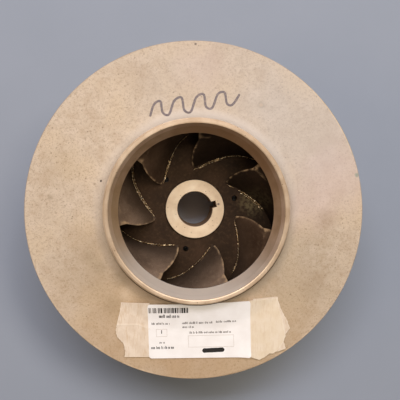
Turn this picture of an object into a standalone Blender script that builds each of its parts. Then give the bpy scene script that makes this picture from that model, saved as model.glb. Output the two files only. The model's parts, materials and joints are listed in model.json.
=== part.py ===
"""Closed centrifugal pump impeller in silicon bronze, lying on its back with the suction eye up.

The origin is on the shaft axis at the rear hub face, +Z points out of the eye, +X and +Y
lie across the shaft.  Lengths below are in millimetres and angles in degrees; angles run
anticlockwise as seen from the eye.  The real thing is one casting: here it is parted into
its named forms, which stand SEAM apart so that eye, bore and passages stay open.
"""

import math

import bmesh
import bpy
from mathutils import Matrix

MM = 0.001
SEAM = 0.3

# driving sizes across the shaft
OUTSIDE_R = 150.9
EYE_RING_R = 79.5
EYE_MOUTH_R = 74.6
EYE_THROAT_R = 69.3
HUB_R = 28.9
BOSS_R = 31.5
BORE_R = 17.46
KEY_WIDTH = 6.4
KEY_REACH = 21.6
KEY_ANGLE = 14.0

# heights above the rear hub face
HUB_TOP = 42.0
FLOOR = 39.0
OUTLET_WIDTH = 38.0
SHROUD_EDGE = 6.0
CEILING = FLOOR + OUTLET_WIDTH
RIM_TOP = CEILING + SHROUD_EDGE
RIM_FOOT = FLOOR - SHROUD_EDGE
RING_TOP = RIM_TOP + 19.0
THROAT_Z = CEILING + 7.0
BACK_FACE = 30.0
REAR_RING_FOOT = 16.0
REAR_RING_R = 79.5
REAR_RING_BORE_R = 72.0

# the blend from the front shroud up to the machined eye ring
BLEND_START_R = 92.0
BLEND_START_Z = RIM_TOP + 3.5
BLEND_ROUND = 12.0
LEDGE_R = 82.0
CHAMFER = 0.6

# jacking holes through the back shroud
JACK_HOLES = 3
JACK_CIRCLE_R = 41.0
JACK_HOLE_R = 2.65
JACK_ANGLE = 15.0

# vanes: leading edges sweep from the hub floor up and out to the throat
VANES = 7
VANE_PHASE = 143.8
VANE_INLET_HUB_R = 40.3
VANE_INLET_EYE_R = 71.5
VANE_TIP_ANGLE = -120.0
VANE_EXIT_BETA = 24.0
VANE_BEND = 2.65
VANE_THICK = 5.0
VANE_NOSE_THICK = 3.2
VANE_NOSE_RUN = 4.0
VANE_THICKEN_RUN = 30.0
# how far the leading edge runs ahead of a straight radial line, and where that swing peaks
LEAD_SWING = 2.6
LEAD_DROP = -4.0

# paper label and masking tape on the front shroud: each side as (x, y) corners, upwards
LABEL_LEFT = ((-42.4, -131.4), (-43.2, -81.6))
LABEL_RIGHT = ((48.1, -131.2), (47.6, -79.8))
TAPE_LEFT_TORN = (
    (-63.0, -129.3), (-64.6, -116.6), (-70.1, -110.9), (-71.0, -105.0), (-67.6, -88.3), (-66.4, -80.2),
)
TAPE_LEFT_INNER = ((-42.9, -129.4), (-43.7, -80.4))
TAPE_RIGHT_INNER = ((48.7, -131.3), (48.1, -79.2))
TAPE_RIGHT_TORN = (
    (57.0, -133.0), (68.7, -128.0), (74.3, -123.7), (78.3, -116.9), (79.9, -112.3), (76.2, -94.9), (72.5, -78.4),
)
SHEET_THICK = 0.3

# facets
TURNS = 84
HUB_TURNS = 56
VANE_LEVELS = 7
VANE_STEPS = 15


def material(name, colour, roughness, metallic):
    made = bpy.data.materials.new(name)
    made.use_nodes = True
    shader = made.node_tree.nodes["Principled BSDF"]
    shader.inputs["Base Color"].default_value = (*colour, 1.0)
    shader.inputs["Roughness"].default_value = roughness
    shader.inputs["Metallic"].default_value = metallic
    return made


def place(name, mesh_data, finish):
    """A bmesh in millimetres becomes a named object in metres."""
    bmesh.ops.recalc_face_normals(mesh_data, faces=mesh_data.faces)
    bmesh.ops.scale(mesh_data, vec=(MM, MM, MM), verts=mesh_data.verts)
    mesh = bpy.data.meshes.new(name)
    mesh_data.to_mesh(mesh)
    mesh_data.free()
    mesh.materials.append(finish)
    mesh.shade_smooth()
    mesh.set_sharp_from_angle(angle=math.radians(35))
    made = bpy.data.objects.new(name, mesh)
    bpy.context.scene.collection.objects.link(made)
    return made


def arc(centre, radius, start, end, steps):
    """Points (r, z) on an arc, from one angle to the other."""
    points = []
    for step in range(steps + 1):
        angle = math.radians(start + (end - start) * step / steps)
        points.append((centre[0] + radius * math.cos(angle), centre[1] + radius * math.sin(angle)))
    return points


def turned(name, outline, finish, turns=TURNS):
    """A closed outline of (r, z) points spun about the shaft axis."""
    shape = bmesh.new()
    corners = [shape.verts.new((r, 0.0, z)) for r, z in outline]
    sides = [shape.edges.new((corners[i - 1], corners[i])) for i in range(len(corners))]
    bmesh.ops.spin(
        shape, geom=corners + sides, cent=(0, 0, 0), axis=(0, 0, 1),
        angle=math.tau, steps=turns, use_merge=True,
    )
    bmesh.ops.remove_doubles(shape, verts=shape.verts, dist=0.001)
    return place(name, shape, finish)


def cutter(name, shape):
    """A hidden solid that only cuts others."""
    bmesh.ops.scale(shape, vec=(MM, MM, MM), verts=shape.verts)
    mesh = bpy.data.meshes.new(name)
    shape.to_mesh(mesh)
    shape.free()
    made = bpy.data.objects.new(name, mesh)
    bpy.context.scene.collection.objects.link(made)
    made.hide_render = True
    made.display_type = "WIRE"
    return made


def cut(target, tool):
    """Subtracts a cutter, and keeps the modifier live."""
    step = target.modifiers.new("cut_" + tool.name, "BOOLEAN")
    step.operation = "DIFFERENCE"
    step.object = tool


def eye_wall(z):
    """Radius of the eye's tapered wall at height z."""
    share = (z - THROAT_Z) / (RING_TOP - THROAT_Z)
    return EYE_THROAT_R + share * (EYE_MOUTH_R - EYE_THROAT_R)


def shroud_top(r):
    """Height of the front shroud's outer face at radius r."""
    if r >= BLEND_START_R:
        share = (OUTSIDE_R - r) / (OUTSIDE_R - BLEND_START_R)
        return RIM_TOP + share * (BLEND_START_Z - RIM_TOP)
    across = min(BLEND_START_R - r, BLEND_START_R - LEDGE_R)
    return BLEND_START_Z + BLEND_ROUND - math.sqrt(BLEND_ROUND**2 - across**2)


def passage_ceiling(r):
    """Height of the front shroud's passage face, which turns up round the throat."""
    neck_r = THROAT_Z - CEILING
    across = max(0.0, min(EYE_THROAT_R + neck_r - r, neck_r))
    return CEILING + neck_r - math.sqrt(neck_r**2 - across**2)


def front_shroud(finish):
    ledge_z = shroud_top(LEDGE_R)
    neck_r = THROAT_Z - CEILING
    blend_end = 270 - math.degrees(math.asin((BLEND_START_R - LEDGE_R) / BLEND_ROUND))
    outline = [(OUTSIDE_R, CEILING), (OUTSIDE_R, RIM_TOP)]
    outline += arc((BLEND_START_R, BLEND_START_Z + BLEND_ROUND), BLEND_ROUND, 270, blend_end, 5)
    outline += [(eye_wall(ledge_z), ledge_z)]
    outline += arc((EYE_THROAT_R + neck_r, THROAT_Z), neck_r, 180, 270, 5)
    return turned("front_shroud", outline, finish)


def eye_ring(finish):
    foot = shroud_top(LEDGE_R) + SEAM
    outline = [
        (EYE_RING_R, foot),
        (EYE_RING_R, RING_TOP - CHAMFER),
        (EYE_RING_R - CHAMFER, RING_TOP),
        (EYE_MOUTH_R + CHAMFER, RING_TOP),
        (eye_wall(RING_TOP - CHAMFER), RING_TOP - CHAMFER),
        (eye_wall(foot), foot),
    ]
    return turned("eye_ring", outline, finish)


def back_shroud(finish):
    outline = [
        (HUB_R + SEAM, FLOOR),
        (OUTSIDE_R, FLOOR),
        (OUTSIDE_R, RIM_FOOT),
        (REAR_RING_R + 5.0, BACK_FACE),
        (HUB_R + SEAM, BACK_FACE),
    ]
    plate = turned("back_shroud", outline, finish)
    for number in range(JACK_HOLES):
        angle = math.radians(JACK_ANGLE + number * 360 / JACK_HOLES)
        drill = bmesh.new()
        bmesh.ops.create_cone(
            drill, cap_ends=True, segments=12, radius1=JACK_HOLE_R, radius2=JACK_HOLE_R,
            depth=4 * (FLOOR - BACK_FACE),
        )
        spot = (JACK_CIRCLE_R * math.cos(angle), JACK_CIRCLE_R * math.sin(angle), BACK_FACE)
        bmesh.ops.translate(drill, vec=spot, verts=drill.verts)
        cut(plate, cutter(f"jack_drill_{number + 1}", drill))
    return plate


def rear_ring(finish):
    outline = [
        (REAR_RING_R, BACK_FACE - SEAM),
        (REAR_RING_R, REAR_RING_FOOT + CHAMFER),
        (REAR_RING_R - CHAMFER, REAR_RING_FOOT),
        (REAR_RING_BORE_R + CHAMFER, REAR_RING_FOOT),
        (REAR_RING_BORE_R, REAR_RING_FOOT + CHAMFER),
        (REAR_RING_BORE_R, BACK_FACE - SEAM),
    ]
    return turned("rear_ring", outline, finish)


def hub(finish):
    shoulder = BACK_FACE - SEAM
    outline = [
        (BORE_R, 0.0),
        (BOSS_R - CHAMFER, 0.0),
        (BOSS_R, CHAMFER),
        (BOSS_R, shoulder),
        (HUB_R, shoulder),
        (HUB_R, HUB_TOP - CHAMFER),
        (HUB_R - CHAMFER, HUB_TOP),
        (BORE_R, HUB_TOP),
    ]
    core = turned("hub", outline, finish, HUB_TURNS)
    broach = bmesh.new()
    bmesh.ops.create_cube(broach, size=1.0)
    inner = BORE_R / 2
    bmesh.ops.scale(broach, vec=(KEY_REACH - inner, KEY_WIDTH, 3 * HUB_TOP), verts=broach.verts)
    bmesh.ops.translate(broach, vec=((KEY_REACH + inner) / 2, 0, HUB_TOP / 2), verts=broach.verts)
    turn = Matrix.Rotation(math.radians(KEY_ANGLE), 3, "Z")
    bmesh.ops.rotate(broach, cent=(0, 0, 0), matrix=turn, verts=broach.verts)
    cut(core, cutter("key_broach", broach))
    return core


def inlet_radius(level):
    """Radius of the leading edge, from 0 at the hub floor to 1 at the throat."""
    return VANE_INLET_HUB_R + level * (VANE_INLET_EYE_R - VANE_INLET_HUB_R)


def inlet_angle(level):
    """Angle of the leading edge: a small swing ahead near the hub, and back near the throat."""
    return LEAD_SWING * math.sin(math.pi * min(1.0, 1.6 * level)) + LEAD_DROP * level**1.5


def camber_angle(level, r):
    """Angle of the vane's middle surface at radius r: a spiral that flattens to the exit."""
    start_r = inlet_radius(level)
    length = math.log(OUTSIDE_R / start_r)
    run = math.log(r / start_r) / length
    wrap = math.radians(inlet_angle(level) - VANE_TIP_ANGLE) / length
    exit_slope = 1 / math.tan(math.radians(VANE_EXIT_BETA))
    start_slope = (wrap - exit_slope / (VANE_BEND + 1)) * (VANE_BEND + 1) / VANE_BEND
    bend = abs(run) ** (VANE_BEND + 1) / (VANE_BEND + 1)
    swept = start_slope * run + (exit_slope - start_slope) * math.copysign(bend, run)
    return math.radians(inlet_angle(level)) - length * swept


def level_height(level, r):
    """Height of the vane at radius r, from 0 on the back shroud to 1 under the front one."""
    low = FLOOR + SEAM
    return low + level * (passage_ceiling(max(r, VANE_INLET_EYE_R)) - SEAM - low)


def half_arc(level, r):
    """Half the vane's width along the circle of radius r, from its true thickness."""
    step = 0.02
    near = min(max(level, step), 1 - step)
    out_r = min(r + 0.5, OUTSIDE_R)
    along = r * (camber_angle(level, out_r) - camber_angle(level, out_r - 0.5)) / 0.5
    rise = level_height(near + step, r) - level_height(near - step, r)
    lean = r * (camber_angle(near + step, r) - camber_angle(near - step, r)) / rise
    slant = math.sqrt(1 + along**2 + lean**2)
    run = (r - inlet_radius(level)) * math.sqrt(1 + along**2)
    thick = VANE_NOSE_THICK
    thick += (VANE_THICK - VANE_NOSE_THICK) * min(1.0, run / VANE_THICKEN_RUN)
    if run < VANE_NOSE_RUN:
        thick *= math.sqrt(1 - (1 - run / VANE_NOSE_RUN) ** 2)
    return 0.5 * thick * slant


def vane_radii(level):
    """Radii from the leading edge to the rim, close together at the rounded nose."""
    start_r = inlet_radius(level)
    shares = [0.0, 0.004, 0.016, 0.04]
    rest = VANE_STEPS - len(shares) + 1
    shares += [0.04 + 0.96 * (step / rest) ** 1.25 for step in range(1, rest + 1)]
    return [start_r + share * (OUTSIDE_R - start_r) for share in shares]


def vane_mesh():
    """One vane about the shaft axis, its hub end at angle 0."""
    shape = bmesh.new()
    nose, ahead, behind = [], [], []
    for row in range(VANE_LEVELS):
        level = row / (VANE_LEVELS - 1)
        front, back = [], []
        for step, r in enumerate(vane_radii(level)):
            angle = camber_angle(level, r)
            z = level_height(level, r)
            if step == 0:
                nose.append(shape.verts.new((r * math.cos(angle), r * math.sin(angle), z)))
                continue
            half = half_arc(level, r) / r
            for side, spread in ((front, half), (back, -half)):
                x, y = r * math.cos(angle + spread), r * math.sin(angle + spread)
                side.append(shape.verts.new((x, y, z)))
        ahead.append([nose[-1]] + front)
        behind.append([nose[-1]] + back)
    last = VANE_LEVELS - 1
    for row in range(last):
        for step in range(VANE_STEPS):
            for side in (ahead, behind):
                low, high = side[row], side[row + 1]
                shape.faces.new((low[step], low[step + 1], high[step + 1], high[step]))
        tip = (ahead[row][-1], behind[row][-1], behind[row + 1][-1], ahead[row + 1][-1])
        shape.faces.new(tip)
    for row in (0, last):
        one, other = ahead[row], behind[row]
        shape.faces.new((one[0], one[1], other[1]))
        for step in range(1, VANE_STEPS):
            shape.faces.new((one[step], one[step + 1], other[step + 1], other[step]))
    return shape


def vanes(finish):
    first = place("vane_1", vane_mesh(), finish)
    first.rotation_euler.z = math.radians(VANE_PHASE)
    for number in range(1, VANES):
        copy = bpy.data.objects.new(f"vane_{number + 1}", first.data)
        copy.rotation_euler.z = math.radians(VANE_PHASE - number * 360 / VANES)
        bpy.context.scene.collection.objects.link(copy)


def stepped(side, steps):
    """Points at even steps along a side that is given by its corners."""
    lengths = [math.dist(side[i], side[i + 1]) for i in range(len(side) - 1)]
    points = []
    for step in range(steps + 1):
        left_over = sum(lengths) * step / steps
        leg = 0
        while leg < len(lengths) - 1 and left_over > lengths[leg]:
            left_over -= lengths[leg]
            leg += 1
        share = left_over / lengths[leg]
        start, end = side[leg], side[leg + 1]
        points.append((start[0] + share * (end[0] - start[0]), start[1] + share * (end[1] - start[1])))
    return points


def laid_sheet(name, left, right, finish, columns, rows):
    """A thin sheet between two sides that follows the front shroud's outer face."""
    shape = bmesh.new()
    faces = []
    for lift in (SEAM, SEAM + SHEET_THICK):
        grid = []
        for one, other in zip(stepped(left, rows), stepped(right, rows)):
            line = []
            for column in range(columns + 1):
                share = column / columns
                x = one[0] + share * (other[0] - one[0])
                y = one[1] + share * (other[1] - one[1])
                # at the foot of the eye ring the sheet ends, short of the ledge
                if math.hypot(x, y) < LEDGE_R + SEAM:
                    y = -math.sqrt((LEDGE_R + SEAM) ** 2 - x**2)
                line.append(shape.verts.new((x, y, shroud_top(math.hypot(x, y)) + lift)))
            grid.append(line)
        faces.append(grid)
    under, over = faces
    for row in range(rows):
        for column in range(columns):
            for grid in faces:
                a, b = grid[row], grid[row + 1]
                shape.faces.new((a[column], a[column + 1], b[column + 1], b[column]))
    for column in range(columns):
        for row in (0, rows):
            shape.faces.new((under[row][column], under[row][column + 1],
                             over[row][column + 1], over[row][column]))
    for row in range(rows):
        for column in (0, columns):
            shape.faces.new((under[row][column], under[row + 1][column],
                             over[row + 1][column], over[row][column]))
    return place(name, shape, finish)


def main():
    for old in list(bpy.data.objects):
        bpy.data.objects.remove(old)
    cast = material("bronze_cast", (0.60, 0.46, 0.33), 0.55, 1.0)
    turned_bronze = material("bronze_turned", (0.72, 0.56, 0.38), 0.35, 1.0)
    dark = material("bronze_dark", (0.16, 0.11, 0.07), 0.6, 1.0)
    tape = material("masking_tape", (0.76, 0.60, 0.42), 0.7, 0.0)
    paper = material("label_paper", (0.90, 0.87, 0.83), 0.6, 0.0)
    front_shroud(cast)
    eye_ring(turned_bronze)
    back_shroud(cast)
    rear_ring(turned_bronze)
    hub(turned_bronze)
    vanes(dark)
    laid_sheet("tape_left", TAPE_LEFT_TORN, TAPE_LEFT_INNER, tape, 5, 10)
    laid_sheet("tape_right", TAPE_RIGHT_INNER, TAPE_RIGHT_TORN, tape, 5, 10)
    laid_sheet("label", LABEL_LEFT, LABEL_RIGHT, paper, 20, 10)


main()
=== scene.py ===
"""The looks of a closed centrifugal pump impeller in cast bronze that lies on its back, eye up.

Lengths are in millimetres and turned to metres where a mesh is made.  Angles are in degrees,
anticlockwise as seen from the eye; +X is to the right of the picture and +Y is up in it.
"""

import json
import math
import random

import bmesh
import bpy
from mathutils import Matrix, Vector, noise

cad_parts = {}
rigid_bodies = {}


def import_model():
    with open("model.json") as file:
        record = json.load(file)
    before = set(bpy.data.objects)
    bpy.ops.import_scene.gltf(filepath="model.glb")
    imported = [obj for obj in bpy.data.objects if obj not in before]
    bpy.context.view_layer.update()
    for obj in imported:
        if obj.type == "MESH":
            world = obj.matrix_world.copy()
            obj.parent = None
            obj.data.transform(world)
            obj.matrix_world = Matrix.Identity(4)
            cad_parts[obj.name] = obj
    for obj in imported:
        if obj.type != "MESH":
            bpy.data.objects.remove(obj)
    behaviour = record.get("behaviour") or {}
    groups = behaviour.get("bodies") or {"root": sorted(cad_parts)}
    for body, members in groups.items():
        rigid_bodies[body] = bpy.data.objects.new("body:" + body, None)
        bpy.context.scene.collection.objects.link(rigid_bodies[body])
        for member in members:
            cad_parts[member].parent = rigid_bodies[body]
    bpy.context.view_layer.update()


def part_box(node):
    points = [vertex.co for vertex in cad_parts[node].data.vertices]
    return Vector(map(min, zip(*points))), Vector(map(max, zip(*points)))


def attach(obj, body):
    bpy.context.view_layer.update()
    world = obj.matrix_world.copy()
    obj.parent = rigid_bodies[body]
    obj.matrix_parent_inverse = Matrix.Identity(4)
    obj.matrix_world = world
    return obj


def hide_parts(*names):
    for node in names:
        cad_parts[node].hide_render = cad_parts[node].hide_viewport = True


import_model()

MM = 0.001

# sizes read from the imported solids
OUTSIDE_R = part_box("front_shroud")[1].x / MM
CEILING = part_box("front_shroud")[0].z / MM
RING_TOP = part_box("eye_ring")[1].z / MM
EYE_RING_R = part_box("eye_ring")[1].x / MM
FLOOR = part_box("back_shroud")[1].z / MM
BACK_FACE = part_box("back_shroud")[0].z / MM
REAR_RING_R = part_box("rear_ring")[1].x / MM
REAR_RING_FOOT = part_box("rear_ring")[0].z / MM
HUB_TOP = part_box("hub")[1].z / MM
BOSS_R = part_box("hub")[1].x / MM

# sizes that a box doesn't give, the same as in the part's source or close to it
EYE_MOUTH_R = 75.2
EYE_THROAT_R = 69.3
HUB_R = 28.9
BORE_R = 17.46
KEY_HALF_WIDTH = 3.2
KEY_REACH = 21.6
KEY_ANGLE = 14.0
SHROUD_EDGE = 6.0
RIM_TOP = CEILING + SHROUD_EDGE
RIM_FOOT = FLOOR - SHROUD_EDGE
NECK_R = 7.0
THROAT_Z = CEILING + NECK_R
REAR_RING_BORE_R = 72.0
BLEND_START_R = 93.0
BLEND_START_Z = RIM_TOP + 3.5
BLEND_ROUND = 12.8
LEDGE_R = 80.6
JACK_CIRCLE_R = 41.0
JACK_HOLE_R = 2.65
JACK_ANGLES = (15.0, 134.5, 257.0)
VANES = 7
VANE_PHASE = 143.8
VANE_INLET_HUB_R = 40.3
VANE_INLET_EYE_R = 71.5
VANE_TIP_ANGLE = -120.0
VANE_EXIT_BETA = 24.0
VANE_BEND = 2.65
VANE_THICK = 5.0
VANE_NOSE_THICK = 3.2
VANE_NOSE_RUN = 4.0
VANE_THICKEN_RUN = 30.0
LEAD_SWING = 2.6
LEAD_DROP = -4.0

# how far sand-cast skin wanders from its true form
CAST_RELIEF = 0.2
PATINA_RELIEF = 0.16

# how far from a corner its edge loops lie, which keep it crisp where faces are shaded smooth
CRISP = 0.08

# a straight run up to this length has no edge loops
SHORT_RUN = 0.6

scene = bpy.context.scene
scene.view_settings.view_transform = "Standard"


def linear(code):
    """An sRGB hex value as linear red, green, blue and alpha."""
    channels = []
    for start in (1, 3, 5):
        share = int(code[start:start + 2], 16) / 255
        channels.append(share / 12.92 if share <= 0.04045 else ((share + 0.055) / 1.055) ** 2.4)
    return (*channels, 1.0)


def node(kind, settings=None, inputs=None, output=0, tree=None):
    """Adds a node to a tree, or to the one that its linked inputs are in, and gives an output of it."""
    inputs = inputs or {}
    links = {name: value for name, value in inputs.items() if isinstance(value, bpy.types.NodeSocket)}
    tree = tree or next(iter(links.values())).id_data
    made = tree.nodes.new("ShaderNode" + kind)
    for name, value in (settings or {}).items():
        setattr(made, name, value)
    for name, value in inputs.items():
        if name in links:
            tree.links.new(value, made.inputs[name])
        else:
            made.inputs[name].default_value = linear(value) if isinstance(value, str) else value
    return made.outputs[output]


def new_material(name, metallic, roughness):
    """A new material with its shader, and the object's own coordinates in metres."""
    made = bpy.data.materials.new(name)
    made.use_nodes = True
    shader = made.node_tree.nodes["Principled BSDF"]
    shader.inputs["Metallic"].default_value = metallic
    shader.inputs["Roughness"].default_value = roughness
    return made, shader, node("TexCoord", output="Object", tree=made.node_tree)


def coat(shader, colour, height=None, depth=0.0, strength=1.0):
    """Gives the shader its colour, and a bump of this depth in millimetres."""
    links = shader.id_data.links
    links.new(colour, shader.inputs["Base Color"])
    if height is not None:
        bump = {"Height": height, "Distance": depth * MM, "Strength": strength}
        links.new(node("Bump", None, bump), shader.inputs["Normal"])


def maths(operation, *values):
    """The result of an operation on numbers."""
    return node("Math", {"operation": operation}, dict(enumerate(values)))


def vectors(operation, *values, output=0):
    """The result of an operation on vectors."""
    return node("VectorMath", {"operation": operation}, dict(enumerate(values)), output)


def times(one, other):
    """Two numbers multiplied."""
    return maths("MULTIPLY", one, other)


def mixed(factor, one, other):
    """One colour that goes over to another by a factor."""
    return node("Mix", {"data_type": "RGBA"}, {"Factor": factor, 6: one, 7: other}, 2)


def over(under, cover, strength, code):
    """A colour laid over another one where the cover is 1, at some strength."""
    return mixed(times(cover, strength), under, code)


def ramped(value, *stops):
    """A colour that follows a value, with the place and the colour of each stop."""
    colour = node("ValToRGB", None, {"Fac": value})
    points = colour.node.color_ramp.elements
    while len(points) < len(stops):
        points.new(0.5)
    for point, (place, code) in zip(points, stops):
        point.position = place
        point.color = linear(code)
    return colour


def stepped(value, low, high):
    """Turns a value into 0 below low and 1 above high, smoothly between."""
    inputs = {"Value": value, "From Min": low, "From Max": high}
    return node("MapRange", {"interpolation_type": "SMOOTHSTEP"}, inputs, "Result")


def per_mm(size):
    """The texture scale that repeats a pattern once in this many millimetres."""
    return 1 / (size * MM)


def noisy(coords, size, detail=3.0, rough=0.55):
    """Values from 0 to 1 that wander over this many millimetres."""
    inputs = {"Vector": coords, "Scale": per_mm(size), "Detail": detail, "Roughness": rough}
    return node("TexNoise", None, inputs, "Fac")


def cells(coords, size):
    """Distance from the nearest of many points that lie about this many millimetres apart."""
    return node("TexVoronoi", None, {"Vector": coords, "Scale": per_mm(size)}, "Distance")


def from_axis(coords):
    """Distance from the shaft axis in metres."""
    return vectors("LENGTH", vectors("MULTIPLY", coords, (1.0, 1.0, 0.0)), output="Value")


def wear_of(coords):
    """How rubbed a piece is at each point of its mesh, from 0 to 1."""
    return node("Attribute", {"attribute_name": "wear"}, None, "Fac", coords.id_data)


def spot(coords, x, y, radius, soft):
    """1 inside a round patch of the face at (x, y), with a ragged soft edge."""
    flat = vectors("MULTIPLY", coords, (1.0, 1.0, 0.0))
    away = vectors("DISTANCE", flat, (x * MM, y * MM, 0.0), output="Value")
    ragged = maths("MULTIPLY_ADD", noisy(coords, radius * 0.9, 2.0), radius * MM * 1.2, -radius * MM * 0.6)
    return stepped(maths("ADD", away, ragged), (radius + soft) * MM, (radius - soft) * MM)


def tool_rings(coords, pitch):
    """Fine rings left by the lathe round the shaft axis, also along its walls."""
    height = node("SeparateXYZ", None, {0: coords}, 2)
    along = node("CombineXYZ", None, {0: from_axis(coords), 1: height})
    return noisy(along, pitch, 2.0, 0.6)


# marks on the cast face, each with its place, radius, softness, strength and colour; most are stains and
# tone, the broad grey patches near the top are painted sheen and the broad darker gold patches low down are
# painted shade
STAINS_SHEEN_AND_SHADE = (
    (122, 34, 30.0, 22.0, 0.42, "#dbc1b8"), (98, 2, 20.0, 16.0, 0.30, "#dbc1b8"),
    (112, 66, 13.0, 9.0, 0.22, "#b9a88c"), (-118, 38, 15.0, 10.0, 0.20, "#b09a78"),
    (-40, -62, 44.0, 34.0, 0.20, "#b3946c"), (4, 126, 20.0, 14.0, 0.26, "#dcc6bc"),
    (118, -8, 9.0, 6.0, 0.34, "#9f8468"), (-97, -28, 16.0, 9.0, 0.26, "#b0946f"),
    (-66, 4, 7.0, 5.0, 0.20, "#a68d6c"), (-52, 118, 14.0, 8.0, 0.14, "#a98f70"),
    (57.0, 94.1, 3.0, 1.0, 0.30, "#8f8468"), (57.0, 94.1, 1.7, 0.6, 0.75, "#cdb394"),
    (138.8, 64.0, 3.2, 1.8, 0.50, "#7f9484"), (145.5, 32.3, 1.8, 1.1, 0.65, "#6d8d7b"),
    (141.5, 52.0, 1.5, 1.0, 0.45, "#87978a"), (-1.1, 147.6, 1.0, 0.4, 0.85, "#564433"),
    (-83.4, 26.3, 0.9, 0.35, 0.95, "#2c2018"), (-89.0, 23.5, 1.1, 0.7, 0.40, "#7d654c"),
    (-60, -112, 58.0, 46.0, 0.42, "#bf9b6a"), (58, -116, 50.0, 42.0, 0.40, "#bc9a68"),
    (4, -146, 34.0, 22.0, 0.34, "#b08a5c"), (104, -66, 11.0, 7.0, 0.20, "#a0866a"),
    (-128, 12, 2.2, 1.6, 0.35, "#8f8068"), (-90, -52, 28.0, 20.0, 0.20, "#968569"),
    (96, -56, 40.0, 26.0, 0.24, "#968569"), (96, 78, 58.0, 44.0, 0.36, "#c4c3c4"),
    (4, 120, 56.0, 42.0, 0.22, "#b4b0ae"), (-94, -40, 5.0, 5.0, 0.20, "#8f7f63"),
    (-85, -49, 6.0, 5.0, 0.25, "#8f7f63"), (-66, -59, 8.0, 6.0, 0.30, "#857252"),
    (-46, -82, 9.0, 7.0, 0.30, "#857252"), (-62, -73, 5.0, 4.0, 0.35, "#e6d3b8"),
    (-72, -84, 8.0, 6.0, 0.22, "#8f7a58"),
)


def cast_bronze():
    """Sand-cast silicon bronze, shot-blasted: sandy, almost matt, with fine pores and faint blotches."""
    made, shader, coords = new_material("cast_bronze_blasted", 0.2, 0.74)
    blotch = noisy(coords, 11, 4.0, 0.62)
    # grit of about 0.25 mm, drawn at 1.1 mm so that it shows
    grit = noisy(coords, 1.1, 2.0)
    skin = ramped(blotch, (0.30, "#c7b49d"), (0.50, "#d1c1ac"), (0.72, "#dacab7"))
    colour = mixed(stepped(noisy(coords, 46), 0.42, 0.66), skin, "#d5c3aa")
    colour = over(colour, stepped(noisy(coords, 2.6, 3.0, 0.65), 0.54, 0.28), 0.38, "#a48b70")
    colour = over(colour, stepped(grit, 0.46, 0.28), 0.42, "#7f6348")
    # pores a millimetre across, drawn where a coarse noise lets them be
    porous = times(stepped(cells(coords, 5.2), 0.17, 0.06), stepped(noisy(coords, 23), 0.43, 0.58))
    colour = over(colour, porous, 0.5, "#6b5139")
    # painted sheen: the blend up to the ring is painted paler all round, and most on the side toward the
    # lamps
    out = from_axis(coords)
    sheen_toward_lamps = maths("MAXIMUM", spot(coords, 14, 88, 74, 22), 0.5)
    colour = over(colour, times(stepped(out, 94 * MM, 85 * MM), sheen_toward_lamps), 0.7, "#e4d9cb")
    # stains and tone, with painted sheen near the top and painted shade low down
    for x, y, radius, soft, strength, code in STAINS_SHEEN_AND_SHADE:
        colour = over(colour, spot(coords, x, y, radius, soft), strength, code)
    # painted shadow: a thin dark line in the corner at the ring's foot, on the side away from the lamps
    corner = times(stepped(out, 83.0 * MM, 81.9 * MM), spot(coords, 6, -85, 84, 30))
    colour = over(colour, corner, 0.95, "#58422d")
    # painted highlight: the outermost edge is paler on the side toward the lamps
    rim_highlight = times(stepped(out, 149.4 * MM, 150.6 * MM), spot(coords, 120, 86, 34, 22))
    colour = over(colour, rim_highlight, 0.85, "#f4dcae")
    coat(shader, colour, mixed(porous, mixed(0.35, grit, blotch), "#000000"), 0.22, 0.55)
    return made


def turned_bronze(name, codes, roughness, pitch, metallic=0.6, pitted=0.0, marks_and_painted_light=()):
    """Lathe-turned bronze: brighter, satin, with fine rings round the axis and a few small pits."""
    made, shader, coords = new_material(name, metallic, roughness)
    # the grooves run round the axis and spread light across themselves
    radial = node("Tangent", {"direction_type": "RADIAL", "axis": "Z"}, tree=made.node_tree)
    made.node_tree.links.new(radial, shader.inputs["Tangent"])
    shader.inputs["Anisotropic"].default_value = 0.7
    shader.inputs["Anisotropic Rotation"].default_value = 0.25
    rings = tool_rings(coords, pitch)
    skin = ramped(noisy(coords, 14), *zip((0.32, 0.5, 0.7), codes))
    colour = over(skin, stepped(rings, 0.62, 0.36), 0.28, codes[0])
    thinned = stepped(noisy(coords, 9), 0.50 - pitted, 0.60 - pitted)
    pits = times(stepped(cells(coords, 3.4), 0.17, 0.08), thinned)
    colour = over(colour, pits, 0.7, "#5d4630")
    # nicks and stains, and on some finishes painted highlights and painted shade
    for x, y, radius, strength, code in marks_and_painted_light:
        colour = over(colour, spot(coords, x, y, radius, 0.5 * radius), strength, code)
    coat(shader, colour, mixed(pits, rings, "#000000"), 0.05, 0.6)
    return made


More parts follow.
